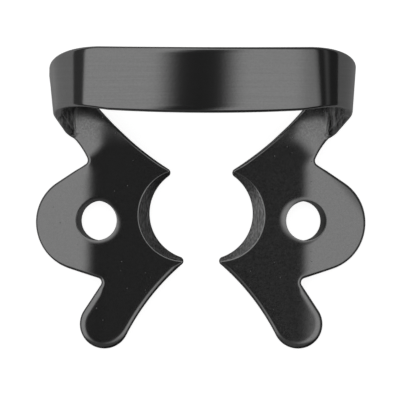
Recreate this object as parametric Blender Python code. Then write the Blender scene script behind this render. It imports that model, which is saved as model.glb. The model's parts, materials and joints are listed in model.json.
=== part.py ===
"""Rubber dam clamp: one piece of spring steel sheet, blanked, ground at the jaws and bent up into a bow.

X runs from side to side, +Y towards the back, where the bow stands, and +Z up.
The sheet is worked out as a middle surface with a height to each side of it. The flat part (jaw, wing,
tongue, hole and arm) is laid out in plan, and the foot, leg and bow are a band between two edge lines.
The right half is built, and mirrored across the middle of the bow.
"""
import math

import bmesh
import bpy
from mathutils import Vector, geometry

MM = 0.001

# Sizes in millimetres, angles in degrees. In plan, the middle of the jaw arc lies at Y = 0.
sheet = 0.78                      # thickness of the spring steel
edge_round = 0.27                 # width of the rounding along the cut edges
tongue_edge_round = 0.75          # more of it round the tongues
prong_edge_round = 0.16           # less at the prongs
ground_edge_round = 0.06          # and at the ground edge
round_reach = 0.8                 # length over which one changes into the other
round_share = 0.4                 # the most of a wall's height that a rounding takes

jaw_opening = 8.42                # between the jaw arcs, at their deepest
jaw_radius = 3.75                 # the arc that takes the neck of the tooth
back_prong_angle = 62.2           # where the arc ends, about its own middle
front_prong_angle = -81.0
prong_round = 0.36
grind_width = 0.97                # ground slope above the jaw arc
grind_land = 0.20                 # thickness left at its thin edge
ridge_round = 0.06                # how far the top of the slope is eased, each way
ridge_sweep = 168.0               # how far round the ridge may run
ridge_clear = 0.14                # and how near to the cut edge

hole_diameter = 3.20              # forceps hole
hole_side = 8.34
hole_ahead = 0.59
hole_lean = 24.0                  # how far it leans, inwards below
hole_round = 0.28

wing_span = 26.84                 # over both wings
wing_radius = 3.92
wing_ahead = 0.77
wing_front_angle = 18.4           # of its front edge, from the side-to-side line
wing_back_angle = 33.8
wing_turn = 11.0                  # how far the wing is turned down
wing_bend_start = 7.87
wing_bend_radius = 11.0
wing_bend_front = -6.4            # where its bend has run out, past the front notch
wing_bend_back = 4.8              # and past the back notch
wing_bend_fade = 1.3              # length over which it runs out

tongue_side = 7.89
tongue_ahead = 9.01
tongue_radius = 2.00
tongue_outer_angle = 33.3         # of its outer edge, from the front-to-back line
tongue_inner_radius = 19.0
front_notch_radius = 0.38
back_notch_radius = 0.40

arm_inner_radius = 25.0           # long hollow edge between back prong and foot
arm_inner_end = (8.04, 8.19)
arm_outer_start = (9.35, 4.61)    # hollow edge between the notch and the foot
arm_outer_end = (10.25, 5.98)
arm_outer_radius = 6.7
arm_turn = 17.5                   # how far the arm is turned down
arm_way = 40.0                    # which way, from the side-to-side line
arm_bend_start = 9.15
arm_bend_radius = 8.0
arm_level_turn = 9.5              # how far it levels out again, backwards
arm_level_start = 5.6
arm_level_radius = 8.0
arm_draw_turn = 9.0               # how far its inner edge is drawn down
arm_draw_width = 1.3
arm_draw_radius = 7.0
arm_draw_start = 5.6              # the draw sets in here
arm_draw_fade = 1.6               # over this length

foot_back = (12.05, 10.70)        # where arm and leg would meet if the fold were sharp
foot_corner = (9.75, 10.02)
foot_corner_radius = 2.8
foot_seam_clear = 0.16            # between the fillet of the corner and the start of the fold
foot_front_reach = 0.45
knee = (11.72, 7.84, 2.2)         # bend of the leg's front edge
knee_radius = 1.5

bow_rise = 8.1                    # above the jaws
bow_back = 13.2
bow_front = 7.96
bow_front_set_back = 0.26
bow_back_set_back = 0.10
crown_radius = 27.0
crown_back_half = 8.5             # where the crown ends and the shoulder sets in
crown_front_half = 8.0
leg_back_side = 12.10
leg_front_side = 11.80
shoulder_front = 8.85
shoulder_front_reach = 3.15

# How finely the surfaces are divided.
edge_step = 0.55
edge_turn = 16.0
round_steps = 3
grid_step = 0.85
columns = 3
fold_steps = 9
line_steps = 2
knee_steps = 3
shoulder_steps = 9
crown_steps = 8
ridge_steps = 24
slope_step = 0.01                 # distance over which the plate's slope is measured
fill_tolerance = 1.0e-7


def soft_bend(reach, radius, angle):
    """Drop of a plate that is bent down by an angle along a line, at a reach beyond that line."""
    turn = math.radians(angle)
    if reach <= 0.0:
        return 0.0
    if reach < radius * math.sin(turn):
        return radius - math.sqrt(radius * radius - reach * reach)
    return radius * (1.0 - math.cos(turn)) + (reach - radius * math.sin(turn)) * math.tan(turn)


def eased(reach, fade):
    """Rises softly from nothing to one over the fade."""
    share = min(max(reach / fade, 0.0), 1.0)
    return share * share * (3.0 - 2.0 * share)


def circle_crossings(a, radius_a, b, radius_b):
    apart = b - a
    span = apart.length
    along = (radius_a ** 2 - radius_b ** 2 + span ** 2) / (2.0 * span)
    across = math.sqrt(max(radius_a ** 2 - along ** 2, 0.0))
    way = apart / span
    base = a + way * along
    return [base + across * Vector((-way.y, way.x)), base - across * Vector((-way.y, way.x))]


def around(middle, radius, angle):
    turn = math.radians(angle)
    return middle + radius * Vector((math.cos(turn), math.sin(turn)))


jaw_middle = Vector((jaw_opening / 2.0 - jaw_radius, 0.0))
back_prong = around(jaw_middle, jaw_radius, back_prong_angle)
front_prong = around(jaw_middle, jaw_radius, front_prong_angle)
arm_inner_middle = min(circle_crossings(back_prong, arm_inner_radius, Vector(arm_inner_end), arm_inner_radius),
                       key=lambda point: point.x)


def plate_height(x, y):
    """Height of the middle surface of jaw, wing, tongue and arm."""
    wing_share = eased(min(y - wing_bend_front, wing_bend_back - y), wing_bend_fade)
    wing = wing_share * soft_bend(x - wing_bend_start, wing_bend_radius, wing_turn)
    along_arm = Vector((x, y)).dot(around(Vector((0.0, 0.0)), 1.0, arm_way))
    arm = soft_bend(along_arm - arm_bend_start, arm_bend_radius, arm_turn)
    level = soft_bend(y - arm_level_start, arm_level_radius, arm_level_turn)
    draw_reach = arm_draw_width + arm_inner_radius - (Vector((x, y)) - arm_inner_middle).length
    draw_share = eased(y - arm_draw_start, arm_draw_fade)
    draw = draw_share * soft_bend(draw_reach, arm_draw_radius, arm_draw_turn)
    return level - wing - arm - draw


def plate_normal(x, y):
    rise_x = plate_height(x + slope_step, y) - plate_height(x - slope_step, y)
    rise_y = plate_height(x, y + slope_step) - plate_height(x, y - slope_step)
    return Vector((-rise_x, -rise_y, 2.0 * slope_step)).normalized()


def plate_point(x, y, side):
    """A point at a height beside the middle surface, measured along its normal."""
    return Vector((x, y, plate_height(x, y))) + plate_normal(x, y) * side


grind_angle = (back_prong_angle + front_prong_angle) / 2.0
ridge_middle = around(jaw_middle, grind_width, grind_angle)


def upper_side(x, y):
    """Height of the upper face over the middle surface: half the sheet, less the cone ground off the jaw."""
    off = Vector((x, y)) - ridge_middle
    depth = jaw_radius - off.length
    if off.dot(ridge_middle - jaw_middle) < 0.0 or depth <= -ridge_round:
        return sheet / 2.0
    if depth < ridge_round:
        depth = (depth + ridge_round) ** 2 / (4.0 * ridge_round)
    return sheet / 2.0 - depth * (sheet - grind_land) / grind_width


def line(point, angle):
    turn = math.radians(angle)
    return {"kind": "line", "at": Vector(point), "way": Vector((math.cos(turn), math.sin(turn)))}


def tangent_line(middle, radius, angle):
    """The line at an angle that leaves a circle on its left."""
    turn = math.radians(angle)
    return line(Vector(middle) + radius * Vector((math.sin(turn), -math.cos(turn))), angle)


def arc(middle, radius, turn):
    return {"kind": "arc", "at": Vector(middle), "radius": radius, "turn": turn}


def shifted(edge, inset):
    """The same edge, moved to its left."""
    if edge["kind"] == "line":
        way = edge["way"]
        return {**edge, "at": edge["at"] + inset * Vector((-way.y, way.x))}
    return {**edge, "radius": edge["radius"] - edge["turn"] * inset}


def crossing(first, second, near):
    """Where two edges cross, nearest to a point."""
    if first["kind"] == "arc" and second["kind"] == "arc":
        found = circle_crossings(first["at"], first["radius"], second["at"], second["radius"])
    elif first["kind"] == "line" and second["kind"] == "line":
        gap = second["at"] - first["at"]
        reach = gap.cross(second["way"]) / first["way"].cross(second["way"])
        found = [first["at"] + first["way"] * reach]
    else:
        straight, round_edge = (first, second) if first["kind"] == "line" else (second, first)
        gap = round_edge["at"] - straight["at"]
        along = gap.dot(straight["way"])
        off = gap - straight["way"] * along
        half = math.sqrt(max(round_edge["radius"] ** 2 - off.length_squared, 0.0))
        found = [straight["at"] + straight["way"] * reach for reach in (along - half, along + half)]
    return min(found, key=lambda point: (point - Vector(near)).length)


def foot_on(edge, point):
    """The point of an edge that lies nearest."""
    if edge["kind"] == "line":
        return edge["at"] + edge["way"] * (point - edge["at"]).dot(edge["way"])
    return edge["at"] + (point - edge["at"]).normalized() * edge["radius"]


def join(first, second, radius, near):
    """Ends the first edge and starts the second, where they touch or at a fillet of a signed radius."""
    if radius == 0.0:
        if first["kind"] == "arc" and second["kind"] == "arc":
            touch = foot_on(first, second["at"])
        elif first["kind"] == "arc":
            touch = foot_on(second, first["at"])
        else:
            touch = foot_on(first, second["at"])
        first["end"] = touch
        second["start"] = touch
        return []
    middle = crossing(shifted(first, radius), shifted(second, radius), near)
    fillet = arc(middle, abs(radius), math.copysign(1.0, radius))
    fillet["start"] = foot_on(first, middle)
    fillet["end"] = foot_on(second, middle)
    first["end"] = fillet["start"]
    second["start"] = fillet["end"]
    return [fillet]


def walk(edge):
    """Points of an edge from its start to its end, each with the way into the material."""
    start = edge["start"]
    end = edge["end"]
    if edge["kind"] == "line":
        count = max(1, math.ceil((end - start).length / edge_step))
        way = (end - start).normalized()
        inward = Vector((-way.y, way.x))
        return [(start.lerp(end, i / count), inward) for i in range(count + 1)]
    spoke = start - edge["at"]
    sweep = edge["turn"] * (-spoke.angle_signed(end - edge["at"]))
    sweep = sweep % (2.0 * math.pi)
    count = max(2, math.ceil(max(sweep * edge["radius"] / edge_step, math.degrees(sweep) / edge_turn)))
    points = []
    for i in range(count + 1):
        turn = edge["turn"] * sweep * i / count
        out = Vector((spoke.x * math.cos(turn) - spoke.y * math.sin(turn),
                      spoke.x * math.sin(turn) + spoke.y * math.cos(turn)))
        points.append((edge["at"] + out, -edge["turn"] * out.normalized()))
    return points


def seam_ends():
    """Where the flat part ends at the foot, and how the edges run there, in plan."""
    corner = Vector(foot_corner)
    way_back = (Vector(foot_back) - corner).normalized()
    back_line = {"kind": "line", "at": corner, "way": -way_back}
    arm_inner = arc(arm_inner_middle, arm_inner_radius, -1.0)
    fillet_middle = crossing(shifted(back_line, foot_corner_radius), shifted(arm_inner, foot_corner_radius), corner)
    seam_back = foot_on(back_line, fillet_middle) + way_back * foot_seam_clear
    seam_front = Vector(arm_outer_end)
    outer = circle_crossings(Vector(arm_outer_start), arm_outer_radius, seam_front, arm_outer_radius)
    middle = max(outer, key=lambda point: point.x)
    spoke = seam_front - middle
    way_front = Vector((spoke.y, -spoke.x)).normalized()
    return seam_back, way_back, seam_front, way_front, middle


def outline():
    """The cut edge of the right half in plan, from the back of the foot round to its front."""
    seam_back, way_back, seam_front, way_front, outer_middle = seam_ends()
    wing_middle = Vector((wing_span / 2.0 - wing_radius, -wing_ahead))
    tongue_middle = Vector((tongue_side, -tongue_ahead))
    front = circle_crossings(front_prong, tongue_inner_radius,
                             tongue_middle, tongue_inner_radius + tongue_radius)
    front_middle = min(front, key=lambda point: point.x)

    back_edge = {"kind": "line", "at": seam_back, "way": -way_back, "start": seam_back}
    arm_inner = arc(arm_inner_middle, arm_inner_radius, -1.0)
    jaw = arc(jaw_middle, jaw_radius, -1.0)
    tongue_inner = arc(front_middle, tongue_inner_radius, -1.0)
    tongue_end = arc(tongue_middle, tongue_radius, 1.0)
    tongue_outer = tangent_line(tongue_middle, tongue_radius, 90.0 + tongue_outer_angle)
    wing_front = tangent_line(wing_middle, wing_radius, wing_front_angle)
    wing = arc(wing_middle, wing_radius, 1.0)
    wing_back = tangent_line(wing_middle, wing_radius, 180.0 - wing_back_angle)
    arm_outer = arc(outer_middle, arm_outer_radius, -1.0)
    arm_outer["end"] = seam_front

    notch = crossing(tongue_outer, wing_front, tongue_middle)
    chain = [(back_edge, foot_corner_radius, foot_corner), (arm_inner, prong_round, back_prong),
             (jaw, prong_round, front_prong), (tongue_inner, 0.0, None), (tongue_end, 0.0, None),
             (tongue_outer, -front_notch_radius, notch), (wing_front, 0.0, None), (wing, 0.0, None),
             (wing_back, -back_notch_radius, arm_outer_start)]
    edges = [piece[0] for piece in chain] + [arm_outer]
    pieces = []
    for (edge, radius, near), after in zip(chain, edges[1:]):
        pieces.append(edge)
        pieces += join(edge, after, radius, near)
    pieces.append(arm_outer)
    prong_fillets = (pieces[pieces.index(jaw) - 1], pieces[pieces.index(jaw) + 1])
    points = []
    for piece in pieces:
        rounding = edge_round
        if piece is jaw:
            rounding = ground_edge_round
        elif piece in (tongue_end, tongue_outer):
            rounding = tongue_edge_round
        elif piece in prong_fillets:
            rounding = prong_edge_round
        first = 1 if points else 0
        points += [(point, inward, rounding) for point, inward in walk(piece)[first:]]
    return points


def evened(points):
    """The edge points again, each rounding averaged with its neighbours', so that it changes gradually."""
    result = []
    for point, inward, _ in points:
        total = 0.0
        weights = 0.0
        for other, _, rounding in points:
            weight = max(0.0, 1.0 - (other - point).length / round_reach)
            total += weight * rounding
            weights += weight
        result.append((point, inward, total / weights))
    return result


class Mesh:
    """Vertices and faces in millimetres."""

    def __init__(self):
        self.vertices = []
        self.faces = []

    def add(self, point):
        self.vertices.append(point)
        return len(self.vertices) - 1


def rim_angles():
    return [math.pi / 2.0 * i / round_steps for i in range(round_steps + 1)]


def plate_rim(mesh, point, under, inward, rounding):
    """One column of the rounded edge, from a point of the upper face over to one of the lower face."""
    half = sheet / 2.0
    wall = upper_side(point.x, point.y) + half
    depth = min(rounding, round_share * wall)
    column = []
    for angle in rim_angles():
        at = point + inward * rounding * (1.0 - math.sin(angle))
        side = upper_side(at.x, at.y) - depth * (1.0 - math.cos(angle))
        column.append(mesh.add(plate_point(at.x, at.y, side)))
    for angle in reversed(rim_angles()):
        at = under + inward * rounding * (1.0 - math.sin(angle))
        column.append(mesh.add(plate_point(at.x, at.y, -half + depth * (1.0 - math.cos(angle)))))
    return column, inward * rounding


def bridge(mesh, first, second):
    """Faces between two columns of vertices."""
    for i in range(len(first) - 1):
        mesh.faces.append((first[i], second[i], second[i + 1], first[i + 1]))


def inside(point, loop):
    """Whether a point lies inside a closed outline."""
    crossings = 0
    for i, a in enumerate(loop):
        b = loop[i - 1]
        if (a.y > point.y) != (b.y > point.y):
            if point.x < (b.x - a.x) * (point.y - a.y) / (b.y - a.y) + a.x:
                crossings += 1
    return crossings % 2 == 1


def clearance(point, loop):
    nearest = 1.0e9
    for i, a in enumerate(loop):
        b = loop[i - 1]
        edge = b - a
        share = min(max((point - a).dot(edge) / edge.length_squared, 0.0), 1.0)
        nearest = min(nearest, (a + edge * share - point).length)
    return nearest


def ridge_rows(loop):
    """Two lines beside the top of the ground slope, which ease the ridge between them."""
    rows = []
    for depth in (ridge_round, -ridge_round):
        row = []
        for i in range(ridge_steps + 1):
            angle = grind_angle + ridge_sweep * (i / ridge_steps - 0.5)
            point = around(ridge_middle, jaw_radius - depth, angle)
            if inside(point, loop) and clearance(point, loop) > ridge_clear:
                row.append(point)
        rows.append(row)
    return rows


def fill(mesh, loop, hole, indices, side_of, rows, flip):
    """Covers one face of the plate between its outline and the hole."""
    points = list(loop) + list(hole)
    known = list(indices)
    edges = [(i, (i + 1) % len(loop)) for i in range(len(loop))]
    edges += [(len(loop) + i, len(loop) + (i + 1) % len(hole)) for i in range(len(hole))]
    for row in rows:
        base = len(points)
        points += row
        edges += [(base + i, base + i + 1) for i in range(len(row) - 1)]
    low = Vector((min(p.x for p in loop), min(p.y for p in loop)))
    high = Vector((max(p.x for p in loop), max(p.y for p in loop)))
    row_points = [point for row in rows for point in row]
    clear = grid_step / 2.0
    for i in range(math.ceil((high.x - low.x) / grid_step)):
        for j in range(math.ceil((high.y - low.y) / grid_step)):
            at = low + grid_step * Vector((i + 0.5, j + 0.5 * (i % 2)))
            if not inside(at, loop) or inside(at, hole):
                continue
            if min(clearance(at, loop), clearance(at, hole)) < clear:
                continue
            if any((at - other).length < clear for other in row_points):
                continue
            points.append(at)
    for point in points[len(known):]:
        known.append(mesh.add(plate_point(point.x, point.y, side_of(point.x, point.y))))
    result = geometry.delaunay_2d_cdt(points, edges, [], 0, fill_tolerance)
    places = result[0]
    triangles = result[2]
    origins = result[3]
    for triangle in triangles:
        middle = (places[triangle[0]] + places[triangle[1]] + places[triangle[2]]) / 3.0
        if inside(middle, loop) and not inside(middle, hole):
            corners = [known[origins[corner][0]] for corner in triangle]
            mesh.faces.append(tuple(reversed(corners)) if flip else tuple(corners))


def band_section(mesh, back, front, along_back, along_front):
    """One section across the band: its rounded back edge, lower face, rounded front edge and upper face."""
    half = sheet / 2.0
    across = (front - back).normalized()
    normals = [across.cross(along).normalized() for along in (along_back, along_front)]
    skew = [1.0 / across.cross(along.normalized()).length for along in (along_back, along_front)]
    size = min(edge_round, round_share * sheet)
    width = (front - back).length
    back_rim = []
    front_rim = []
    heights = [(angle, 1.0) for angle in rim_angles()] + [(angle, -1.0) for angle in reversed(rim_angles())]
    for angle, side in heights:
        inset = size * (1.0 - math.sin(angle))
        lift = side * (half - size * (1.0 - math.cos(angle)))
        back_rim.append(mesh.add(back + across * inset * skew[0] + normals[0] * lift))
        front_rim.append(mesh.add(front - across * inset * skew[1] + normals[1] * lift))
    upper = []
    lower = []
    for i in range(1, columns + 1):
        share = i / (columns + 1)
        reach = size * skew[0] + share * (width - size * (skew[0] + skew[1]))
        normal = normals[0].lerp(normals[1], reach / width).normalized()
        upper.append(mesh.add(back + across * reach + normal * half))
        lower.append(mesh.add(back + across * reach - normal * half))
    return back_rim + lower + list(reversed(front_rim)) + list(reversed(upper))


def rounded_path(corners, radii, counts):
    """Points along straight stretches and the bends between them, as many on each as is asked for."""
    path = [corners[0]]
    for i in range(1, len(corners)):
        start = path[-1]
        end = corners[i]
        bend = []
        if i < len(corners) - 1:
            before = (corners[i] - corners[i - 1]).normalized()
            after = (corners[i + 1] - corners[i]).normalized()
            turn = before.angle(after)
            reach = radii[i - 1] * math.tan(turn / 2.0)
            end = corners[i] - before * reach
            aside = (after - before * after.dot(before)).normalized()
            middle = end + aside * radii[i - 1]
            steps = counts[i - 1][1]
            for j in range(1, steps + 1):
                angle = turn * j / steps
                bend.append(middle + radii[i - 1] * (before * math.sin(angle) - aside * math.cos(angle)))
        steps = counts[i - 1][0]
        for j in range(1, steps + 1):
            path.append(start.lerp(end, j / steps))
        path += bend
    return path


def bend_radius(corners, place, reach):
    """Radius of the bend at a corner that starts at a reach before it."""
    before = corners[place] - corners[place - 1]
    after = corners[place + 1] - corners[place]
    return reach / math.tan(before.angle(after) / 2.0)


def crown(middle_y, set_back, crown_half):
    """The bow's edge from the shoulder to the middle, and its slope at the shoulder."""
    points = []
    sweep = math.asin(crown_half / crown_radius)
    for i in range(crown_steps + 1):
        angle = sweep * (1.0 - i / crown_steps)
        x = crown_radius * math.sin(angle)
        z = bow_rise - crown_radius * (1.0 - math.cos(angle))
        points.append(Vector((x, middle_y + set_back * (x / crown_half) ** 2, z)))
    return points, Vector((math.cos(sweep), 0.0, -math.sin(sweep)))


def on_arm(plan):
    return Vector((plan.x, plan.y, plate_height(plan.x, plan.y)))


def rails():
    """The two edge lines of foot, leg and bow, on the middle surface, with as many points each."""
    seam_back, way_back, seam_front, way_front, _ = seam_ends()

    crown_back, slope = crown(bow_back, bow_back_set_back, crown_back_half)
    reach = (leg_back_side - crown_back_half) / slope.x
    shoulder = crown_back[0] + slope * reach
    foot = on_arm(Vector(foot_back))
    corners = [on_arm(seam_back), foot, shoulder, crown_back[0]]
    radii = [bend_radius(corners, 1, (foot - corners[0]).length), bend_radius(corners, 2, reach)]
    back = rounded_path(corners, radii,
                        [(0, fold_steps), (1 + knee_steps + line_steps, shoulder_steps), (0, 0)])

    crown_front, slope = crown(bow_front, bow_front_set_back, crown_front_half)
    reach = (leg_front_side - crown_front_half) / slope.x
    shoulder = Vector((leg_front_side, shoulder_front, crown_front[0].z + slope.z * reach))
    foot = on_arm(seam_front + way_front * foot_front_reach)
    corners = [on_arm(seam_front), foot, Vector(knee), shoulder, crown_front[0]]
    radii = [bend_radius(corners, 1, (foot - corners[0]).length), knee_radius,
             bend_radius(corners, 3, shoulder_front_reach)]
    front = rounded_path(corners, radii,
                         [(0, fold_steps), (1, knee_steps), (line_steps, shoulder_steps), (0, 0)])
    return back + crown_back[1:], front + crown_front[1:]


def build_half(mesh):
    """The right half of the clamp, open at the middle of the bow."""
    half = sheet / 2.0
    points = evened(outline())
    back_rail, front_rail = rails()
    across = (front_rail[0] - back_rail[0]).to_2d().normalized()

    rims = []
    loop = []
    for place, (point, inward, rounding) in enumerate(points):
        if place == 0:
            inward = across / across.dot(inward)
        if place == len(points) - 1:
            inward = -across / -across.dot(inward)
        column, inset = plate_rim(mesh, point, point, inward, rounding)
        rims.append(column)
        loop.append(point + inset)
    for first, second in zip(rims, rims[1:]):
        bridge(mesh, first, second)

    upper_seam = []
    lower_seam = []
    seam_points = []
    for i in range(1, columns + 1):
        at = loop[0].lerp(loop[-1], i / (columns + 1))
        seam_points.append(at)
        upper_seam.append(mesh.add(plate_point(at.x, at.y, half)))
        lower_seam.append(mesh.add(plate_point(at.x, at.y, -half)))

    hole_middle = Vector((hole_side, -hole_ahead))
    hole_shift = Vector((sheet * math.tan(math.radians(hole_lean)) / 2.0, 0.0))
    hole_columns = []
    upper_hole = []
    lower_hole = []
    count = math.ceil(360.0 / edge_turn)
    for i in range(count):
        point = around(hole_middle, hole_diameter / 2.0, 360.0 * i / count)
        out = (point - hole_middle).normalized()
        column, inset = plate_rim(mesh, point + hole_shift, point - hole_shift, out, hole_round)
        hole_columns.append(column)
        upper_hole.append(point + hole_shift + inset)
        lower_hole.append(point - hole_shift + inset)
    for i in range(count):
        bridge(mesh, hole_columns[i], hole_columns[(i + 1) % count])

    closed = loop + list(reversed(seam_points))
    upper = [column[0] for column in rims] + list(reversed(upper_seam))
    upper += [column[0] for column in hole_columns]
    lower = [column[-1] for column in rims] + list(reversed(lower_seam))
    lower += [column[-1] for column in hole_columns]
    fill(mesh, closed, upper_hole, upper, upper_side, ridge_rows(closed), False)
    fill(mesh, closed, lower_hole, lower, lambda x, y: -half, [], True)

    sections = [rims[0] + lower_seam + list(reversed(rims[-1])) + list(reversed(upper_seam))]
    for i in range(1, len(back_rail)):
        before = max(i - 1, 0)
        after = min(i + 1, len(back_rail) - 1)
        along_back = back_rail[after] - back_rail[before]
        along_front = front_rail[after] - front_rail[before]
        if i == len(back_rail) - 1:
            along_back = along_front = Vector((-1.0, 0.0, 0.0))
        sections.append(band_section(mesh, back_rail[i], front_rail[i], along_back, along_front))
    for first, second in zip(sections, sections[1:]):
        bridge(mesh, second + second[:1], first + first[:1])


def black_steel():
    material = bpy.data.materials.new("black steel")
    material.use_nodes = True
    shader = material.node_tree.nodes["Principled BSDF"]
    shader.inputs["Base Color"].default_value = (0.195, 0.195, 0.2, 1.0)
    shader.inputs["Metallic"].default_value = 1.0
    shader.inputs["Roughness"].default_value = 0.2
    return material


def build_clamp():
    half = Mesh()
    build_half(half)
    lowest = min(point.z for point in half.vertices)
    nearest = min(point.y for point in half.vertices)
    furthest = max(point.y for point in half.vertices)
    home = Vector((0.0, (nearest + furthest) / 2.0, lowest))
    data = bpy.data.meshes.new("clamp")
    data.from_pydata([(point - home) * MM for point in half.vertices], [], half.faces)
    work = bmesh.new()
    work.from_mesh(data)
    bmesh.ops.recalc_face_normals(work, faces=work.faces)
    work.to_mesh(data)
    work.free()
    data.materials.append(black_steel())
    data.shade_smooth()
    clamp = bpy.data.objects.new("clamp", data)
    bpy.context.scene.collection.objects.link(clamp)
    mirror = clamp.modifiers.new("other half", "MIRROR")
    mirror.use_axis = (True, False, False)
    mirror.merge_threshold = 1.0e-6
    return clamp


for item in list(bpy.data.objects):
    bpy.data.objects.remove(item, do_unlink=True)
build_clamp()
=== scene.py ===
"""A black winged rubber dam clamp, lying on a white table in a light tent and seen from above.

Lengths are in millimetres until the mesh is made. X runs from jaw to jaw, +Y towards the bow, +Z up.
"""
import json
import math

import bmesh
import bpy
from mathutils import Matrix, Vector, geometry

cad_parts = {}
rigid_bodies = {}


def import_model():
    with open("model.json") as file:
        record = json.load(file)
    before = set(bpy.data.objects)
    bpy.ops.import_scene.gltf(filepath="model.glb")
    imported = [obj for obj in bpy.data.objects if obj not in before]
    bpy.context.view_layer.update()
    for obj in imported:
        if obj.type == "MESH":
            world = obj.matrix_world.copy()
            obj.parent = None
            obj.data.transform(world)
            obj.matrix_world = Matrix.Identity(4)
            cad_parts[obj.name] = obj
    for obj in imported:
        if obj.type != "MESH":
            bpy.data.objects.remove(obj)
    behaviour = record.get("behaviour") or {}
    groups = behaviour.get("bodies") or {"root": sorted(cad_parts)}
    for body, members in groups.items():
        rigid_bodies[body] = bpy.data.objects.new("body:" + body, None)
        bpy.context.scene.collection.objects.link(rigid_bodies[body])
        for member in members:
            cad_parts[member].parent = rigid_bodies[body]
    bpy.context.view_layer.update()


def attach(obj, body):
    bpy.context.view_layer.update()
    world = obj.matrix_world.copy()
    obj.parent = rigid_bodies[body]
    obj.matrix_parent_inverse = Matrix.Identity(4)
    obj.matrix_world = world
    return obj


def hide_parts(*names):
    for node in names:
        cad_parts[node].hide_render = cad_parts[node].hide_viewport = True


for item in list(bpy.data.objects):
    bpy.data.objects.remove(item, do_unlink=True)
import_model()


# The blank
# One piece of spring steel sheet, punched out flat. Its outline is the hollow jaw arc between two
# prongs, a long hollow edge out to the foot, a front tongue, a round wing, and two small notch fillets
# between them. The right half is drawn, from the back of the foot round to its front.
sheet = 0.78
jaw_opening = 8.42
jaw_radius = 3.75
back_prong_angle = 62.2
front_prong_angle = -81.0
prong_round = 0.36
jaw_middle = Vector((jaw_opening / 2.0 - jaw_radius, 0.0))

wing_span = 26.84
wing_radius = 3.92
wing_ahead = 0.77
wing_front_angle = 18.4
wing_back_angle = 33.8

tongue_side = 7.89
tongue_ahead = 9.01
tongue_radius = 2.00
tongue_outer_angle = 33.3
tongue_inner_radius = 19.0
front_notch_radius = 0.38
back_notch_radius = 0.40

arm_inner_radius = 25.0
arm_inner_end = (8.04, 8.19)
arm_outer_start = (9.35, 4.61)
arm_outer_end = (10.25, 5.98)
arm_outer_radius = 6.7

foot_back = (12.05, 10.70)
foot_corner = (9.75, 10.02)
foot_corner_radius = 2.8
foot_seam_clear = 0.16

cut_edge_step = 0.16
cut_edge_turn = 5.0
fewest_arc_steps = 4


def straight_edge(point, angle):
    """The straight edge through a point at an angle, with the metal on its left."""
    turn = math.radians(angle)
    return {"kind": "line", "at": Vector(point), "way": Vector((math.cos(turn), math.sin(turn)))}


def edge_leaving(middle, radius, angle):
    """The straight edge at an angle that leaves a round one on its left."""
    turn = math.radians(angle)
    return straight_edge(Vector(middle) + radius * Vector((math.sin(turn), -math.cos(turn))), angle)


def round_edge(middle, radius, turn):
    """The round edge about a middle, with the metal inside it at turn 1 and outside it at turn -1."""
    return {"kind": "arc", "at": Vector(middle), "radius": radius, "turn": turn}


def moved_in(edge, inset):
    """The same edge, moved to its left."""
    if edge["kind"] == "line":
        way = edge["way"]
        return {**edge, "at": edge["at"] + inset * Vector((-way.y, way.x))}
    return {**edge, "radius": edge["radius"] - edge["turn"] * inset}


def where_circles_cross(a, radius_a, b, radius_b):
    apart = b - a
    span = apart.length
    along = (radius_a ** 2 - radius_b ** 2 + span ** 2) / (2.0 * span)
    across = math.sqrt(max(radius_a ** 2 - along ** 2, 0.0))
    way = apart / span
    base = a + way * along
    return [base + across * Vector((-way.y, way.x)), base - across * Vector((-way.y, way.x))]


def where_edges_cross(first, second, near):
    """The place where two edges cross, nearest to a given one."""
    if first["kind"] == "arc" and second["kind"] == "arc":
        found = where_circles_cross(first["at"], first["radius"], second["at"], second["radius"])
    elif first["kind"] == "line" and second["kind"] == "line":
        gap = second["at"] - first["at"]
        reach = gap.cross(second["way"]) / first["way"].cross(second["way"])
        found = [first["at"] + first["way"] * reach]
    else:
        straight, bent = (first, second) if first["kind"] == "line" else (second, first)
        gap = bent["at"] - straight["at"]
        along = gap.dot(straight["way"])
        off = gap - straight["way"] * along
        half = math.sqrt(max(bent["radius"] ** 2 - off.length_squared, 0.0))
        found = [straight["at"] + straight["way"] * reach for reach in (along - half, along + half)]
    return min(found, key=lambda point: (point - Vector(near)).length)


def nearest_on(edge, point):
    """The place on an edge that is nearest to a point."""
    if edge["kind"] == "line":
        return edge["at"] + edge["way"] * (point - edge["at"]).dot(edge["way"])
    return edge["at"] + (point - edge["at"]).normalized() * edge["radius"]


def blend_edges(first, second, radius, near):
    """Ends the first edge and starts the second, where they touch or at a fillet of a signed radius."""
    if radius == 0.0:
        if first["kind"] == "arc" and second["kind"] == "line":
            touch = nearest_on(second, first["at"])
        else:
            touch = nearest_on(first, second["at"])
        first["end"] = touch
        second["start"] = touch
        return []
    middle = where_edges_cross(moved_in(first, radius), moved_in(second, radius), near)
    fillet = round_edge(middle, abs(radius), math.copysign(1.0, radius))
    fillet["start"] = nearest_on(first, middle)
    fillet["end"] = nearest_on(second, middle)
    first["end"] = fillet["start"]
    second["start"] = fillet["end"]
    return [fillet]


def points_along(edge):
    """Points of an edge from its start to its end, each with the way into the metal."""
    start = edge["start"]
    end = edge["end"]
    if edge["kind"] == "line":
        count = max(1, math.ceil((end - start).length / cut_edge_step))
        way = (end - start).normalized()
        inward = Vector((-way.y, way.x))
        return [(start.lerp(end, i / count), inward) for i in range(count + 1)]
    spoke = start - edge["at"]
    sweep = edge["turn"] * (-spoke.angle_signed(end - edge["at"]))
    sweep = sweep % (2.0 * math.pi)
    steps = max(sweep * edge["radius"] / cut_edge_step, math.degrees(sweep) / cut_edge_turn)
    count = max(fewest_arc_steps, math.ceil(steps))
    points = []
    for i in range(count + 1):
        turn = edge["turn"] * sweep * i / count
        out = Vector((spoke.x * math.cos(turn) - spoke.y * math.sin(turn),
                      spoke.x * math.sin(turn) + spoke.y * math.cos(turn)))
        points.append((edge["at"] + out, -edge["turn"] * out.normalized()))
    return points


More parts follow.
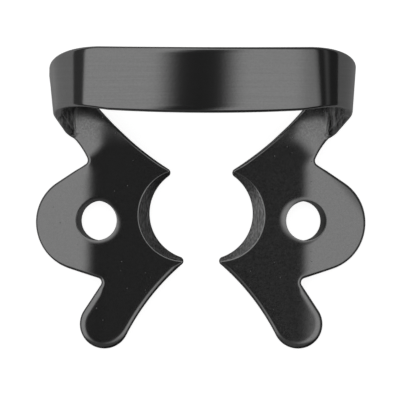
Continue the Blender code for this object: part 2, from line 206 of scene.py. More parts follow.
seam_front = Vector(arm_outer_end)
arm_outer_middle = max(where_circles_cross(Vector(arm_outer_start), arm_outer_radius,
                                           seam_front, arm_outer_radius),
                       key=lambda point: point.x)
arm_outer_spoke = seam_front - arm_outer_middle
way_front = Vector((arm_outer_spoke.y, -arm_outer_spoke.x)).normalized()

prongs = []
for angle in (back_prong_angle, front_prong_angle):
    turn = math.radians(angle)
    prongs.append(jaw_middle + jaw_radius * Vector((math.cos(turn), math.sin(turn))))
wing_middle = Vector((wing_span / 2.0 - wing_radius, -wing_ahead))
tongue_middle = Vector((tongue_side, -tongue_ahead))
arm_inner_middle = min(where_circles_cross(prongs[0], arm_inner_radius,
                                           Vector(arm_inner_end), arm_inner_radius),
                       key=lambda point: point.x)
tongue_inner_middle = min(where_circles_cross(prongs[1], tongue_inner_radius,
                                              tongue_middle, tongue_inner_radius + tongue_radius),
                          key=lambda point: point.x)

way_back = (Vector(foot_back) - Vector(foot_corner)).normalized()
back_edge = {"kind": "line", "at": Vector(foot_corner), "way": -way_back}
arm_inner = round_edge(arm_inner_middle, arm_inner_radius, -1.0)
foot_fillet_middle = where_edges_cross(moved_in(back_edge, foot_corner_radius),
                                       moved_in(arm_inner, foot_corner_radius), foot_corner)
seam_back = nearest_on(back_edge, foot_fillet_middle) + way_back * foot_seam_clear
back_edge["start"] = seam_back
jaw = round_edge(jaw_middle, jaw_radius, -1.0)
tongue_inner = round_edge(tongue_inner_middle, tongue_inner_radius, -1.0)
tongue_end = round_edge(tongue_middle, tongue_radius, 1.0)
tongue_outer = edge_leaving(tongue_middle, tongue_radius, 90.0 + tongue_outer_angle)
wing_front = edge_leaving(wing_middle, wing_radius, wing_front_angle)
wing = round_edge(wing_middle, wing_radius, 1.0)
wing_back = edge_leaving(wing_middle, wing_radius, 180.0 - wing_back_angle)
arm_outer = round_edge(arm_outer_middle, arm_outer_radius, -1.0)
arm_outer["end"] = seam_front

cut_edges = [back_edge]
cut_edges += blend_edges(back_edge, arm_inner, foot_corner_radius, foot_corner)
cut_edges += [arm_inner]
back_prong = blend_edges(arm_inner, jaw, prong_round, prongs[0])
front_prong = blend_edges(jaw, tongue_inner, prong_round, prongs[1])
cut_edges += back_prong + [jaw] + front_prong + [tongue_inner]
cut_edges += blend_edges(tongue_inner, tongue_end, 0.0, None) + [tongue_end]
cut_edges += blend_edges(tongue_end, tongue_outer, 0.0, None) + [tongue_outer]
front_notch = where_edges_cross(tongue_outer, wing_front, tongue_middle)
cut_edges += blend_edges(tongue_outer, wing_front, -front_notch_radius, front_notch) + [wing_front]
cut_edges += blend_edges(wing_front, wing, 0.0, None) + [wing]
cut_edges += blend_edges(wing, wing_back, 0.0, None) + [wing_back]
cut_edges += blend_edges(wing_back, arm_outer, -back_notch_radius, arm_outer_start) + [arm_outer]


# The bends of the flat part
# The wings are turned down along a soft bend from notch to notch. The tongues stay nearly flat, and only
# their outer side leans a little. Each arm is bent down towards the foot and then levels out, and its
# inner edge is drawn down.
wing_turn = 11.0
wing_bend_start = 7.87
wing_bend_radius = 11.0
wing_bend_front = -6.4
wing_bend_back = 4.8
wing_bend_fade = 1.3
tongue_turn = 2.4
tongue_bend_start = 7.9
tongue_bend_radius = 25.0
tongue_bend_back = -4.4
tongue_bend_fade = 2.2
arm_turn = 17.5
arm_way = 40.0
arm_bend_start = 9.15
arm_bend_radius = 8.0
arm_level_turn = 9.5
arm_level_start = 5.6
arm_level_radius = 8.0
arm_draw_turn = 9.0
arm_draw_width = 1.3
arm_draw_radius = 7.0
arm_draw_start = 5.6
arm_draw_fade = 1.6
slope_step = 0.01


def drop_past_bend(reach, radius, angle):
    """How far a plate has dropped at a reach beyond the line where it starts to bend."""
    if reach <= 0.0:
        return 0.0
    turn = math.radians(angle)
    if reach < radius * math.sin(turn):
        return radius - math.sqrt(radius * radius - reach * reach)
    return radius * (1.0 - math.cos(turn)) + (reach - radius * math.sin(turn)) * math.tan(turn)


def eased(reach, fade):
    """Rises softly from nothing to one over the fade."""
    share = min(max(reach / fade, 0.0), 1.0)
    return share * share * (3.0 - 2.0 * share)


def plate_height(x, y):
    """Height of the middle of the sheet."""
    wing_share = eased(min(y - wing_bend_front, wing_bend_back - y), wing_bend_fade)
    at_wing = wing_share * drop_past_bend(x - wing_bend_start, wing_bend_radius, wing_turn)
    tongue_share = eased(tongue_bend_back - y, tongue_bend_fade)
    at_tongue = tongue_share * drop_past_bend(x - tongue_bend_start, tongue_bend_radius, tongue_turn)
    along_arm = x * math.cos(math.radians(arm_way)) + y * math.sin(math.radians(arm_way))
    at_arm = drop_past_bend(along_arm - arm_bend_start, arm_bend_radius, arm_turn)
    at_level = drop_past_bend(y - arm_level_start, arm_level_radius, arm_level_turn)
    draw_reach = arm_draw_width + arm_inner_radius - (Vector((x, y)) - arm_inner_middle).length
    draw_share = eased(y - arm_draw_start, arm_draw_fade)
    at_draw = draw_share * drop_past_bend(draw_reach, arm_draw_radius, arm_draw_turn)
    return at_level - at_wing - at_tongue - at_arm - at_draw


def plate_point(x, y, side):
    """A point beside the middle of the sheet, out along its normal."""
    rise_x = plate_height(x + slope_step, y) - plate_height(x - slope_step, y)
    rise_y = plate_height(x, y + slope_step) - plate_height(x, y - slope_step)
    normal = Vector((-rise_x, -rise_y, 2.0 * slope_step)).normalized()
    return Vector((x, y, plate_height(x, y))) + normal * side


# The ground jaws and the tumbled edges
# A wheel grinds the upper face back from each jaw arc to a thin edge, so that it slips in at the neck of
# the tooth. After that the clamp is tumbled, which rounds every cut edge, less at the prongs.
grind_width = 0.97
grind_lean = 30.9
ridge_round = 0.06
ridge_sweep = 168.0
ridge_steps = 72
ridge_clear = 0.05
edge_round = 0.27
tongue_edge_round = 0.66
tongue_inner_round = 0.42
prong_edge_round = 0.16
ground_edge_round = 0.06
round_reach = 0.8
round_share = 0.28
round_steps = 7
round_flatness = 1.25
grind_angle = math.radians((back_prong_angle + front_prong_angle) / 2.0)
grind_way = Vector((math.cos(grind_angle), math.sin(grind_angle)))
ridge_middle = jaw_middle + grind_way * grind_width
rim_angles = [math.pi / 2.0 * i / round_steps for i in range(round_steps + 1)]
quarter = [(math.sin(angle), (1.0 - math.cos(angle)) ** round_flatness) for angle in rim_angles]

vertices = []
faces = []
ground_shares = []


def add_vertex(point, ground=0.0):
    vertices.append(point)
    ground_shares.append(ground)
    return len(vertices) - 1


def ground_off(x, y):
    """How much the cone of the grinding wheel takes off the upper face, with a soft ridge round it."""
    off = Vector((x, y)) - ridge_middle
    depth = jaw_radius - off.length
    if off.dot(grind_way) < 0.0 or depth <= -ridge_round:
        return 0.0
    if depth < ridge_round:
        depth = (depth + ridge_round) ** 2 / (4.0 * ridge_round)
    return depth * math.tan(math.radians(grind_lean))


def upper_side(x, y):
    """Height of the upper face over the middle of the sheet."""
    return sheet / 2.0 - ground_off(x, y)


def add_rim(point, under, inward, over_profile, under_profile):
    """One line across a rounded edge. Its profiles say how far out and down from each face it has come."""
    column = []
    over_width = over_profile[-1][0]
    for reach, drop in over_profile:
        at = point + inward * (over_width - reach)
        top = upper_side(at.x, at.y) - drop
        column.append(add_vertex(plate_point(at.x, at.y, top), ground_off(at.x, at.y)))
    under_width = under_profile[-1][0]
    for reach, drop in reversed(under_profile):
        at = under + inward * (under_width - reach)
        column.append(add_vertex(plate_point(at.x, at.y, drop - sheet / 2.0)))
    return column


def join_lines(first, second):
    """Faces between two lines of points."""
    for i in range(len(first) - 1):
        faces.append((first[i], second[i], second[i + 1], first[i + 1]))


edge_points = []
for edge in cut_edges:
    rounding = edge_round
    if edge is jaw:
        rounding = ground_edge_round
    elif edge in (tongue_end, tongue_outer):
        rounding = tongue_edge_round
    elif edge is tongue_inner:
        rounding = tongue_inner_round
    elif edge in back_prong + front_prong:
        rounding = prong_edge_round
    first = 1 if edge_points else 0
    edge_points += [(point, inward, rounding) for point, inward in points_along(edge)[first:]]

across_seam = (seam_front - seam_back).normalized()
rims = []
rim_loop = []
for place, (point, inward, _) in enumerate(edge_points):
    weighted = 0.0
    weights = 0.0
    for other, _, rounding in edge_points:
        weight = max(0.0, 1.0 - (other - point).length / round_reach)
        weighted += weight * rounding
        weights += weight
    if place in (0, len(edge_points) - 1):
        inward = across_seam / across_seam.dot(inward)
    width = weighted / weights
    depth = min(width, round_share * (upper_side(point.x, point.y) + sheet / 2.0))
    profile = [(width * out, depth * down) for out, down in quarter]
    rims.append(add_rim(point, point, inward, profile, profile))
    rim_loop.append(point + inward * width)
for first, second in zip(rims, rims[1:]):
    join_lines(first, second)


# The forceps holes
# A round hole in each jaw plate, leaning in towards the tooth below, so that the tips of the forceps
# hold in it while they spread the clamp. Its upper rim is rolled over, first gently and then tightly, and
# is widest on the side of the tooth.
hole_diameter = 3.20
hole_side = 8.34
hole_ahead = 0.59
hole_lean = 24.0
hole_round = 0.28
hole_steps = 96
dip_turn = 7.5
dip_radius = 4.5
dip_radius_outside = 0.3
lip_turn = 16.0
lip_radius = 0.60
lip_radius_outside = 0.22
lip_edge = 0.03


def rolled(bends):
    """Profile of a rim rolled over in bends, each up to an angle at a radius."""
    points = [(0.0, 0.0)]
    before = 0.0
    for angle, radius in bends:
        reach, drop = points[-1]
        after = math.radians(angle)
        for step in range(1, round_steps + 1):
            turn = before + (after - before) * step / round_steps
            points.append((reach + radius * (math.sin(turn) - math.sin(before)),
                           drop + radius * (math.cos(before) - math.cos(turn))))
        before = after
    return points


hole_shift = Vector((sheet * math.tan(math.radians(hole_lean)) / 2.0, 0.0))
hole_under = [(hole_round * out, hole_round * down) for out, down in quarter]
hole_rims = []
upper_hole = []
lower_hole = []
for i in range(hole_steps):
    turn = 2.0 * math.pi * i / hole_steps
    out = Vector((math.cos(turn), math.sin(turn)))
    point = Vector((hole_side, -hole_ahead)) + out * hole_diameter / 2.0
    outside = (1.0 + out.x) / 2.0
    profile = rolled([(dip_turn, dip_radius + (dip_radius_outside - dip_radius) * outside),
                      (lip_turn, lip_radius + (lip_radius_outside - lip_radius) * outside), (90.0, lip_edge)])
    hole_rims.append(add_rim(point + hole_shift, point - hole_shift, out, profile, hole_under))
    upper_hole.append(point + hole_shift + out * profile[-1][0])
    lower_hole.append(point - hole_shift + out * hole_round)
for i in range(hole_steps):
    join_lines(hole_rims[i], hole_rims[(i + 1) % hole_steps])


# The faces of the flat part
# The rolled skin of the sheet between the rounded edges, with the ridge that the grinding wheel leaves
# where its slope runs out.
face_step = 0.33
face_room = face_step / 2.0
ridge_room = face_step / 3.0
seam_steps = 15
slope_line_shares = (0.75, 0.5, 0.25)
ridge_line_shares = (1.0, 0.6, 0.2, -0.2, -0.6, -1.0, -1.3)
fill_tolerance = 1.0e-7


def is_inside(point, loop):
    """Whether a point lies inside a closed outline."""
    crossings = 0
    for i, a in enumerate(loop):
        b = loop[i - 1]
        if (a.y > point.y) != (b.y > point.y):
            if point.x < (b.x - a.x) * (point.y - a.y) / (b.y - a.y) + a.x:
                crossings += 1
    return crossings % 2 == 1


def room_at(point, loop):
    """Distance from a point to a closed outline."""
    nearest = math.inf
    for i, a in enumerate(loop):
        b = loop[i - 1]
        edge = b - a
        share = min(max((point - a).dot(edge) / edge.length_squared, 0.0), 1.0)
        nearest = min(nearest, (a + edge * share - point).length)
    return nearest


upper_seam = []
lower_seam = []
seam_points = []
for i in range(1, seam_steps + 1):
    at = rim_loop[0].lerp(rim_loop[-1], i / (seam_steps + 1))
    seam_points.append(at)
    upper_seam.append(add_vertex(plate_point(at.x, at.y, sheet / 2.0)))
    lower_seam.append(add_vertex(plate_point(at.x, at.y, -sheet / 2.0)))
face_loop = rim_loop + list(reversed(seam_points))

ridge_rows = []
ridge_lines = [grind_width * share for share in slope_line_shares]
ridge_lines += [ridge_round * share for share in ridge_line_shares]
for depth in ridge_lines:
    row = []
    for i in range(ridge_steps + 1):
        turn = grind_angle + math.radians(ridge_sweep) * (i / ridge_steps - 0.5)
        point = ridge_middle + (jaw_radius - depth) * Vector((math.cos(turn), math.sin(turn)))
        if is_inside(point, face_loop) and room_at(point, face_loop) > ridge_clear:
            row.append(point)
    ridge_rows.append(row)

inner_points = []
low_x = min(point.x for point in face_loop)
low_y = min(point.y for point in face_loop)
ridge_points = [point for row in ridge_rows for point in row]
for i in range(math.ceil((max(point.x for point in face_loop) - low_x) / face_step)):
    for j in range(math.ceil((max(point.y for point in face_loop) - low_y) / face_step)):
        at = Vector((low_x, low_y)) + face_step * Vector((i + 0.5, j + 0.5 * (i % 2)))
        if not is_inside(at, face_loop) or is_inside(at, upper_hole) or is_inside(at, lower_hole):
            continue
        if min(room_at(at, loop) for loop in (face_loop, upper_hole, lower_hole)) < face_room:
            continue
        if min((at - other).length for other in ridge_points) < ridge_room:
            continue
        inner_points.append(at)


def cover(known, hole_loop, rows, side_of, underneath):
    """Covers one face of the plate between its outline and the forceps hole."""
    points = face_loop + hole_loop
    known = list(known)
    count = len(face_loop)
    edges = [(i, (i + 1) % count) for i in range(count)]
    edges += [(count + i, count + (i + 1) % hole_steps) for i in range(hole_steps)]
    for row in rows:
        edges += [(len(points) + i, len(points) + i + 1) for i in range(len(row) - 1)]
        points = points + row
    points = points + inner_points
    for point in points[len(known):]:
        ground = 0.0 if underneath else ground_off(point.x, point.y)
        known.append(add_vertex(plate_point(point.x, point.y, side_of(point.x, point.y)), ground))
    result = geometry.delaunay_2d_cdt(points, edges, [], 0, fill_tolerance)
    places = result[0]
    triangles = result[2]
    origins = result[3]
    for triangle in triangles:
        middle = (places[triangle[0]] + places[triangle[1]] + places[triangle[2]]) / 3.0
        if is_inside(middle, face_loop) and not is_inside(middle, hole_loop):
            corners = [known[origins[corner][0]] for corner in triangle]
            faces.append(tuple(reversed(corners)) if underneath else tuple(corners))


upper_rim = [column[0] for column in rims] + list(reversed(upper_seam))
upper_rim += [column[0] for column in hole_rims]
lower_rim = [column[-1] for column in rims] + list(reversed(lower_seam))
lower_rim += [column[-1] for column in hole_rims]
cover(upper_rim, upper_hole, ridge_rows, upper_side, False)
cover(lower_rim, lower_hole, [], lambda x, y: -sheet / 2.0, True)


# The feet, legs and bow
# At each foot the sheet folds up along a slanting line. The leg narrows towards the fold, and the bow
# arches over the back of the tooth with a soft shoulder at each side. It is the spring of the clamp.
foot_front_reach = 0.45
knee = (11.72, 7.84, 2.2)
knee_radius = 1.5
bow_rise = 8.1
bow_back = 13.2
bow_front = 7.96
bow_front_set_back = 0.26
bow_back_set_back = 0.10
crown_radius = 27.0
crown_back_half = 8.5
crown_front_half = 8.0
leg_back_side = 12.10
leg_front_side = 11.80
shoulder_front = 8.85
shoulder_front_reach = 3.15

fold_steps = 30
line_steps = 12
knee_steps = 10
shoulder_steps = 34
crown_steps = 40


def bend_path(corners, radii, counts):
    """Points along straight stretches and the bends between them, as many on each as is asked for."""
    path = [corners[0]]
    for i in range(1, len(corners)):
        start = path[-1]
        end = corners[i]
        bend = []
        if i < len(corners) - 1:
            before = (corners[i] - corners[i - 1]).normalized()
            after = (corners[i + 1] - corners[i]).normalized()
            turn = before.angle(after)
            end = corners[i] - before * radii[i - 1] * math.tan(turn / 2.0)
            aside = (after - before * after.dot(before)).normalized()
            middle = end + aside * radii[i - 1]
            steps = counts[i - 1][1]
            for j in range(1, steps + 1):
                angle = turn * j / steps
                bend.append(middle + radii[i - 1] * (before * math.sin(angle) - aside * math.cos(angle)))
        steps = counts[i - 1][0]
        for j in range(1, steps + 1):
            path.append(start.lerp(end, j / steps))
        path += bend
    return path


def bend_radius(corners, place, reach):
    """The radius of a bend that starts and ends at a reach from its corner."""
    before = corners[place] - corners[place - 1]
    after = corners[place + 1] - corners[place]
    return reach / math.tan(before.angle(after) / 2.0)


def crown_edge(middle_y, set_back, crown_half):
    """The bow's edge from the shoulder to the middle."""
    points = []
    sweep = math.asin(crown_half / crown_radius)
    for i in range(crown_steps + 1):
        angle = sweep * (1.0 - i / crown_steps)
        x = crown_radius * math.sin(angle)
        z = bow_rise - crown_radius * (1.0 - math.cos(angle))
        points.append(Vector((x, middle_y + set_back * (x / crown_half) ** 2, z)))
    return points


def on_arm(plan):
    """A place of the flat blank, on the middle of the bent arm."""
    return Vector((plan.x, plan.y, plate_height(plan.x, plan.y)))


def crown_slope(crown_half):
    """The way down from the end of the crown to the shoulder."""
    turn = math.asin(crown_half / crown_radius)
    return Vector((math.cos(turn), 0.0, -math.sin(turn)))


crown_back = crown_edge(bow_back, bow_back_set_back, crown_back_half)
back_slope = crown_slope(crown_back_half)
shoulder_back_reach = (leg_back_side - crown_back_half) / back_slope.x
back_corners = [on_arm(seam_back), on_arm(Vector(foot_back)),
                crown_back[0] + back_slope * shoulder_back_reach, crown_back[0]]
back_radii = [bend_radius(back_corners, 1, (back_corners[1] - back_corners[0]).length),
              bend_radius(back_corners, 2, shoulder_back_reach)]
back_line = bend_path(back_corners, back_radii,
                      [(0, fold_steps), (1 + knee_steps + line_steps, shoulder_steps), (0, 0)])
back_line += crown_back[1:]

crown_front = crown_edge(bow_front, bow_front_set_back, crown_front_half)
front_slope = crown_slope(crown_front_half)
shoulder_drop = front_slope.z * (leg_front_side - crown_front_half) / front_slope.x
front_corners = [on_arm(seam_front), on_arm(seam_front + way_front * foot_front_reach), Vector(knee),
                 Vector((leg_front_side, shoulder_front, crown_front[0].z + shoulder_drop)), crown_front[0]]
front_radii = [bend_radius(front_corners, 1, (front_corners[1] - front_corners[0]).length), knee_radius,
               bend_radius(front_corners, 3, shoulder_front_reach)]
front_line = bend_path(front_corners, front_radii,
                       [(0, fold_steps), (1, knee_steps), (line_steps, shoulder_steps), (0, 0)])
front_line += crown_front[1:]


def across_band(back, front, along_back, along_front):
    """One line of points round the band: its back edge, lower face, front edge and upper face."""
    half = sheet / 2.0
    across = (front - back).normalized()
    normals = [across.cross(along).normalized() for along in (along_back, along_front)]
    skew = [1.0 / across.cross(along.normalized()).length for along in (along_back, along_front)]
    size = min(edge_round, round_share * sheet)
    width = (front - back).length
    back_rim = []
    front_rim = []
    heights = [(angle, 1.0) for angle in rim_angles] + [(angle, -1.0) for angle in reversed(rim_angles)]
    for angle, side in heights:
        inset = size * (1.0 - math.sin(angle))
        lift = side * (half - size * (1.0 - math.cos(angle)))
        back_rim.append(add_vertex(back + across * inset * skew[0] + normals[0] * lift))
        front_rim.append(add_vertex(front - across * inset * skew[1] + normals[1] * lift))
    upper = []
    lower = []
    for i in range(1, seam_steps + 1):
        share = i / (seam_steps + 1)
        reach = size * skew[0] + share * (width - size * (skew[0] + skew[1]))
        normal = normals[0].lerp(normals[1], reach / width).normalized()
        upper.append(add_vertex(back + across * reach + normal * half))
        lower.append(add_vertex(back + across * reach - normal * half))
    return back_rim + lower + list(reversed(front_rim)) + list(reversed(upper))


bands = [rims[0] + lower_seam + list(reversed(rims[-1])) + list(reversed(upper_seam))]
last = len(back_line) - 1
for i in range(1, last + 1):
    along_back = back_line[min(i + 1, last)] - back_line[i - 1]
    along_front = front_line[min(i + 1, last)] - front_line[i - 1]
    if i == last:
        along_back = along_front = Vector((-1.0, 0.0, 0.0))
    bands.append(across_band(back_line[i], front_line[i], along_back, along_front))
for first, second in zip(bands, bands[1:]):
    join_lines(second + second[:1], first + first[:1])


# The whole clamp
# The left half is the right one mirrored across the middle of the bow. The clamp stands on its wings
# and feet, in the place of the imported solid.
to_metres = 0.001
mirror_merge = 1.0e-6

home = Vector((0.0, (min(point.y for point in vertices) + max(point.y for point in vertices)) / 2.0,
               min(point.z for point in vertices)))
clamp_mesh = bpy.data.meshes.new("rubber_dam_clamp")
clamp_mesh.from_pydata([(point - home) * to_metres for point in vertices], [], faces)
ground_attribute = clamp_mesh.attributes.new("ground", "FLOAT", "POINT")
ground_attribute.data.foreach_set("value", ground_shares)
work = bmesh.new()
work.from_mesh(clamp_mesh)
bmesh.ops.recalc_face_normals(work, faces=work.faces)
work.to_mesh(clamp_mesh)
work.free()
clamp_mesh.shade_smooth()
clamp = bpy.data.objects.new("rubber_dam_clamp", clamp_mesh)
bpy.context.scene.collection.objects.link(clamp)
mirror = clamp.modifiers.new("left half", "MIRROR")
mirror.use_axis = (True, False, False)
mirror.merge_threshold = mirror_merge


# The black finish
# A thin, hard, metallic black coating over the tumbled steel, which mirrors the tent softly. It has a
# fine mottle, polishing lines along the bow, wheel marks on the ground slopes, streaks in the folds of
# the feet that dull the coat and are painted lighter as painted light, a haze of handling, most on the
# right jaw, and a few specks of dust.
coat_shade = 0.195
coat_roughness = 0.12
noise_reach = (0.3, 0.7)
soft_detail = 2.0
fine_detail = 3.0
mottle_size = 0.16
mottle_depth = 0.045
grain_size = 0.22
grain_height = 0.0012

bow_heights = (1.8, 3.2)
line_length = 9.0
line_width = 0.11
line_depth = 0.05

arm_places = (4.2, 5.8)
arm_mottle_depth = 0.16
arm_roughness = 0.24

slope_depths = (0.01, 0.06)
wheel_mark_width = 0.09
wheel_mark_length = 0.4
wheel_mark_depth = 0.5
wheel_roughness = 0.30
wheel_height = 0.006

fold_sides = (9.9, 10.4)
fold_front = (5.2, 6.2)
fold_back = (7.1, 7.9)
fold_heights = (3.2, 4.4)
# Streaks in the folds of the feet: they dull the coat there, and they lighten its colour as painted light.
streak_width = 0.28
streak_length = 1.6
streak_reach = (0.35, 0.65)
fold_painted_light = 1.4
streak_haze = 0.9

haze_size = 0.13
haze_reach = (0.35, 0.8)
haze_middle = (-2.0, 2.0)
haze_left = 0.08
haze_right = 0.24

dust_spacing = 0.5
dust_radius = 0.06
dust_edge = 0.04
dust_share = 0.5
dust_shade = 0.16
dust_roughness = 0.5

finish = bpy.data.materials.new("black coated steel")
finish.use_nodes = True
nodes = finish.node_tree.nodes
links = finish.node_tree.links
coat = nodes["Principled BSDF"]
on_clamp = nodes.new("ShaderNodeTexCoord")
where = nodes.new("ShaderNodeSeparateXYZ")
links.new(on_clamp.outputs["Object"], where.inputs["Vector"])
ground = nodes.new("ShaderNodeAttribute")
ground.attribute_name = "ground"


def rising(value, low, high, start=0.0, end=1.0, course="LINEAR"):
    """A value that goes from a start to an end while another one rises from low to high."""
    ramp = nodes.new("ShaderNodeMapRange")
    ramp.interpolation_type = course
    for name, number in (("From Min", low), ("From Max", high), ("To Min", start), ("To Max", end)):
        ramp.inputs[name].default_value = number
    links.new(value, ramp.inputs["Value"])
    return ramp.outputs["Result"]


def along(axis, reach, start=0.0, end=1.0):
    """A value that goes from a start to an end between two places on the clamp."""
    return rising(where.outputs[axis], reach[0] * to_metres, reach[1] * to_metres, start, end)


def feed(socket, value):
    """Sets a socket to a number, or links a value to it."""
    if isinstance(value, float):
        socket.default_value = value
    else:
        links.new(value, socket)


def combined(how, *values):
    """Values and numbers put together."""
    node = nodes.new("ShaderNodeMath")
    node.operation = how
    for socket, value in zip(node.inputs, values):
        feed(socket, value)
    return node.outputs["Value"]


def blended(share, first, second):
    """A value that goes from the first to the second as the share rises from 0 to 1."""
    mix = nodes.new("ShaderNodeMix")
    mix.data_type = "FLOAT"
    feed(mix.inputs["Factor"], share)
    feed(mix.inputs["A"], first)
    feed(mix.inputs["B"], second)
    return mix.outputs["Result"]


def spots(size_x, size_y, size_z, detail):
    """Noise between 0 and 1 in spots of these sizes."""
    scaled = nodes.new("ShaderNodeMapping")
    scaled.inputs["Scale"].default_value = [1.0 / (size * to_metres) for size in (size_x, size_y, size_z)]
    noise = nodes.new("ShaderNodeTexNoise")
    noise.inputs["Scale"].default_value = 1.0
    noise.inputs["Detail"].default_value = detail
    links.new(on_clamp.outputs["Object"], scaled.inputs["Vector"])
    links.new(scaled.outputs["Vector"], noise.inputs["Vector"])
    return noise.outputs["Fac"]


def unevenness(size_x, size_y, size_z, detail):
    """Spots that go to lighter and to darker alike."""
    return rising(spots(size_x, size_y, size_z, detail), *noise_reach, -1.0, 1.0)


on_ground = rising(ground.outputs["Fac"], *slope_depths)
on_bow = along("Z", bow_heights)
off_bow = along("Z", bow_heights, 1.0, 0.0)
on_arm = combined("MULTIPLY", along("Y", arm_places), off_bow)
side = combined("ABSOLUTE", where.outputs["X"])
on_fold = combined("MULTIPLY", rising(side, fold_sides[0] * to_metres, fold_sides[1] * to_metres),
                   along("Z", fold_heights, 1.0, 0.0))
for behind in (along("Y", fold_front), along("Y", fold_back, 1.0, 0.0)):
    on_fold = combined("MULTIPLY", on_fold, behind)

mottle = unevenness(mottle_size, mottle_size, mottle_size, soft_detail)
mottle_share = combined("ADD", combined("MULTIPLY", on_arm, arm_mottle_depth), mottle_depth)
lines = unevenness(line_length, line_width, line_length, soft_detail)
scratches = unevenness(wheel_mark_width, wheel_mark_length, wheel_mark_width, fine_detail)
wheel_marks = combined("MULTIPLY", scratches, on_ground)
stripes = spots(streak_width, streak_length, streak_length, fine_detail)
# The fold streaks dull the coat, and they also carry painted light in its colour.
dull_and_painted_light_streaks = combined("MULTIPLY", rising(stripes, *streak_reach), on_fold)
tone = combined("MULTIPLY", mottle, mottle_share)
# In the folds the streaks lighten the colour. This is painted light, not a colour of the coat.
for mark, depth in ((combined("MULTIPLY", lines, on_bow), line_depth), (wheel_marks, wheel_mark_depth),
                    (dull_and_painted_light_streaks, fold_painted_light)):
    tone = combined("MULTIPLY_ADD", mark, depth, tone)
tone = combined("MULTIPLY_ADD", tone, coat_shade, coat_shade)

cells = nodes.new("ShaderNodeTexVoronoi")
cells.inputs["Scale"].default_value = 1.0 / (dust_spacing * to_metres)
links.new(on_clamp.outputs["Object"], cells.inputs["Vector"])
cell_pick = nodes.new("ShaderNodeSeparateXYZ")
links.new(cells.outputs["Color"], cell_pick.inputs["Vector"])
speck_size = rising(cell_pick.outputs["X"], 1.0 - dust_share, 1.0, 0.0, dust_radius / dust_spacing)
speck = combined("SUBTRACT", speck_size, cells.outputs["Distance"])
dust = combined("MULTIPLY", rising(speck, 0.0, dust_edge), off_bow)

links.new(blended(dust, tone, dust_shade), coat.inputs["Base Color"])

haze_share = combined("MULTIPLY", along("X", haze_middle, haze_left, haze_right), off_bow)
blurs = spots(haze_size, haze_size, haze_size, fine_detail)
haze = combined("MULTIPLY", rising(blurs, *haze_reach), haze_share)
dulled = combined("ADD", combined("MULTIPLY_ADD", dull_and_painted_light_streaks, streak_haze, haze), dust)
links.new(rising(dulled, 0.0, 1.0, 1.0, 0.0), coat.inputs["Metallic"])

roughness = combined("MULTIPLY_ADD", on_ground, wheel_roughness - coat_roughness, coat_roughness)
roughness = combined("MULTIPLY_ADD", on_arm, arm_roughness - coat_roughness, roughness)
roughness = combined("MULTIPLY_ADD", dust, dust_roughness, roughness)
links.new(roughness, coat.inputs["Roughness"])

grain = spots(grain_size, grain_size, grain_size, soft_detail)
grain = combined("MULTIPLY", grain, grain_height * to_metres)
relief = nodes.new("ShaderNodeBump")
relief.inputs["Strength"].default_value = 1.0
relief.inputs["Distance"].default_value = 1.0
links.new(combined("MULTIPLY_ADD", wheel_marks, wheel_height * to_metres, grain), relief.inputs["Height"])
links.new(relief.outputs["Normal"], coat.inputs["Normal"])
clamp_mesh.materials.append(finish)
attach(clamp, "root")
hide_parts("clamp")


# The table
# A plain white sheet. It goes to pure white in the picture and keeps a faint shadow of the clamp. Only
# the light on it beside the clamp, most of it on the left, shows in the ends of the bow.
table_half = 3.0
paper_shade = 0.45
paper_light = 0.90
light_beside = [(-30.0, 0.34), (-16.0, 0.34), (-12.0, 0.0), (12.0, 0.0), (16.0, 0.14), (30.0, 0.14)]

table_mesh = bpy.data.meshes.new("table")
table_mesh.from_pydata([(-table_half, -table_half, 0.0), (table_half, -table_half, 0.0),
                        (table_half, table_half, 0.0), (-table_half, table_half, 0.0)], [], [(0, 1, 2, 3)])
table = bpy.data.objects.new("table", table_mesh)
bpy.context.scene.collection.objects.link(table)
paper = bpy.data.materials.new("white paper")
paper.use_nodes = True
nodes = paper.node_tree.nodes
links = paper.node_tree.links
nodes.clear()


def banded(value, bands, unit):
    """Light in bands along a value. Each is given as its place, in a unit, and its strength."""
    low = bands[0][0]
    high = bands[-1][0]
    ramp = nodes.new("ShaderNodeValToRGB")
    stops = ramp.color_ramp.elements
    for place, (at, strength) in enumerate(bands):
        stop = stops[place] if place < len(stops) else stops.new(1.0)
        stop.position = (at - low) / (high - low)
        stop.color = (strength, strength, strength, 1.0)
    links.new(rising(value, low * unit, high * unit), ramp.inputs["Fac"])
    return ramp.outputs["Color"]


on_table = nodes.new("ShaderNodeTexCoord")
where = nodes.new("ShaderNodeSeparateXYZ")
links.new(on_table.outputs["Object"], where.inputs["Vector"])
seen = nodes.new("ShaderNodeLightPath")
mirrored = combined("ADD", seen.outputs["Is Glossy Ray"], seen.outputs["Is Transmission Ray"])
beside = combined("MULTIPLY", mirrored, banded(where.outputs["X"], light_beside, to_metres))
matt = nodes.new("ShaderNodeBsdfDiffuse")
matt.inputs["Color"].default_value = (paper_shade, paper_shade, paper_shade, 1.0)
glow = nodes.new("ShaderNodeEmission")
links.new(blended(seen.outputs["Is Camera Ray"], beside, paper_light), glow.inputs["Strength"])
lit_paper = nodes.new("ShaderNodeAddShader")
links.new(matt.outputs["BSDF"], lit_paper.inputs[0])
links.new(glow.outputs["Emission"], lit_paper.inputs[1])
out = nodes.new("ShaderNodeOutputMaterial")
links.new(lit_paper.outputs["Shader"], out.inputs["Surface"])
table_mesh.materials.append(paper)


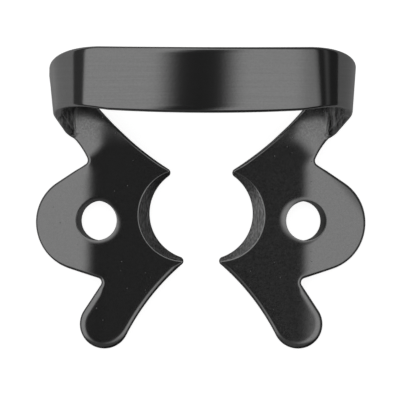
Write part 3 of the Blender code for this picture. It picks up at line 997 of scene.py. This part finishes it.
# The light tent
# A white tent all round, as light as the picture's background. The black coat mirrors it, with the dark
# oval hole near its top that the camera looks through, the dark band where its panels end, and the
# shade low in front. The tent is even elsewhere, so a colour looks about as it is written.
hood_lean = 1.05
hood_long_half = 17.0
hood_short_half = 9.0
hood_turn = 42.0
hood_edge = 0.43
hood_shade = 0.05
tent_light = 1.0
left_rings = [(0.0, 1.0), (56.0, 1.0), (60.0, 0.12), (79.0, 0.12), (82.0, 0.55), (180.0, 0.55)]
right_rings = [(0.0, 1.0), (35.0, 1.0), (39.5, 0.66), (46.0, 0.43), (50.5, 0.06), (58.0, 0.06),
               (64.0, 0.22), (72.0, 0.06), (180.0, 0.06)]
rings_blend = 0.1
front_shade = 0.17
front_reach = (-0.25, 0.0)
front_narrowing = 0.5
degree = math.radians(1.0)

tent = bpy.data.worlds.new("light tent")
tent.use_nodes = True
bpy.context.scene.world = tent
nodes = tent.node_tree.nodes
links = tent.node_tree.links
nodes.clear()
outwards = nodes.new("ShaderNodeTexCoord")
where = nodes.new("ShaderNodeSeparateXYZ")
links.new(outwards.outputs["Generated"], where.inputs["Vector"])

from_top = combined("ARCCOSINE", where.outputs["Z"])
wall = blended(rising(where.outputs["X"], -rings_blend, rings_blend),
               banded(from_top, left_rings, degree), banded(from_top, right_rings, degree))

from_hood = nodes.new("ShaderNodeMapping")
from_hood.vector_type = "TEXTURE"
hood_angle = math.radians(hood_lean)
from_hood.inputs["Location"].default_value = (-math.sin(hood_angle), 0.0, math.cos(hood_angle))
from_hood.inputs["Rotation"].default_value = (0.0, 0.0, math.radians(hood_turn))
from_hood.inputs["Scale"].default_value = (math.sin(math.radians(hood_long_half)),
                                           math.sin(math.radians(hood_short_half)), 1.0)
hood_reach = nodes.new("ShaderNodeVectorMath")
hood_reach.operation = "LENGTH"
links.new(outwards.outputs["Generated"], from_hood.inputs["Vector"])
links.new(from_hood.outputs["Vector"], hood_reach.inputs[0])
hood = rising(hood_reach.outputs["Value"], 1.0 - hood_edge, 1.0 + hood_edge, hood_shade, 1.0, "SMOOTHSTEP")

aside = combined("ABSOLUTE", where.outputs["X"])
ahead = combined("MULTIPLY_ADD", aside, front_narrowing, where.outputs["Y"])
front = rising(ahead, *front_reach, front_shade, 1.0, "SMOOTHSTEP")

mirrored_tent = combined("MULTIPLY", combined("MULTIPLY", wall, hood), front)
seen = nodes.new("ShaderNodeLightPath")
direct = combined("ADD", seen.outputs["Is Camera Ray"], seen.outputs["Is Transmission Ray"])
background = nodes.new("ShaderNodeBackground")
background.inputs["Strength"].default_value = tent_light
links.new(blended(direct, mirrored_tent, 1.0), background.inputs["Color"])
out = nodes.new("ShaderNodeOutputWorld")
links.new(background.outputs["Background"], out.inputs["Surface"])


# The camera
# A long lens looks down through the hole of the tent, from a little to the left. The clamp lies in the
# picture as it does in the photograph.
aim = Vector((0.0, 0.0, 0.0014))
camera_distance = 0.3925
nearest_seen = 0.05
farthest_seen = 20.0
lean_left = math.radians(2.7)
lean_forward = math.radians(-0.75)
turn_in_frame = math.radians(0.075)
pixels_per_metre = 12270.0
aim_pixel = (201.463, 199.375)
picture_side = 400.0

camera_data = bpy.data.cameras.new("camera")
camera = bpy.data.objects.new("camera", camera_data)
bpy.context.scene.collection.objects.link(camera)
towards = Vector((-math.sin(lean_left), math.sin(lean_forward), math.cos(lean_left) * math.cos(lean_forward)))
towards.normalize()
right = Vector((0.0, 1.0, 0.0)).cross(towards).normalized()
up = towards.cross(right)
picture_right = right * math.cos(turn_in_frame) + up * math.sin(turn_in_frame)
picture_up = up * math.cos(turn_in_frame) - right * math.sin(turn_in_frame)
camera.matrix_world = Matrix.Translation(aim + towards * camera_distance) @ Matrix(
    (picture_right, picture_up, towards)).transposed().to_4x4()
camera_data.lens = camera_data.sensor_width * pixels_per_metre * camera_distance / picture_side
camera_data.shift_x = (picture_side / 2.0 - aim_pixel[0]) / picture_side
camera_data.shift_y = (aim_pixel[1] - picture_side / 2.0) / picture_side
camera_data.clip_start = nearest_seen
camera_data.clip_end = farthest_seen
bpy.context.scene.camera = camera
bpy.context.scene.view_settings.view_transform = "Standard"
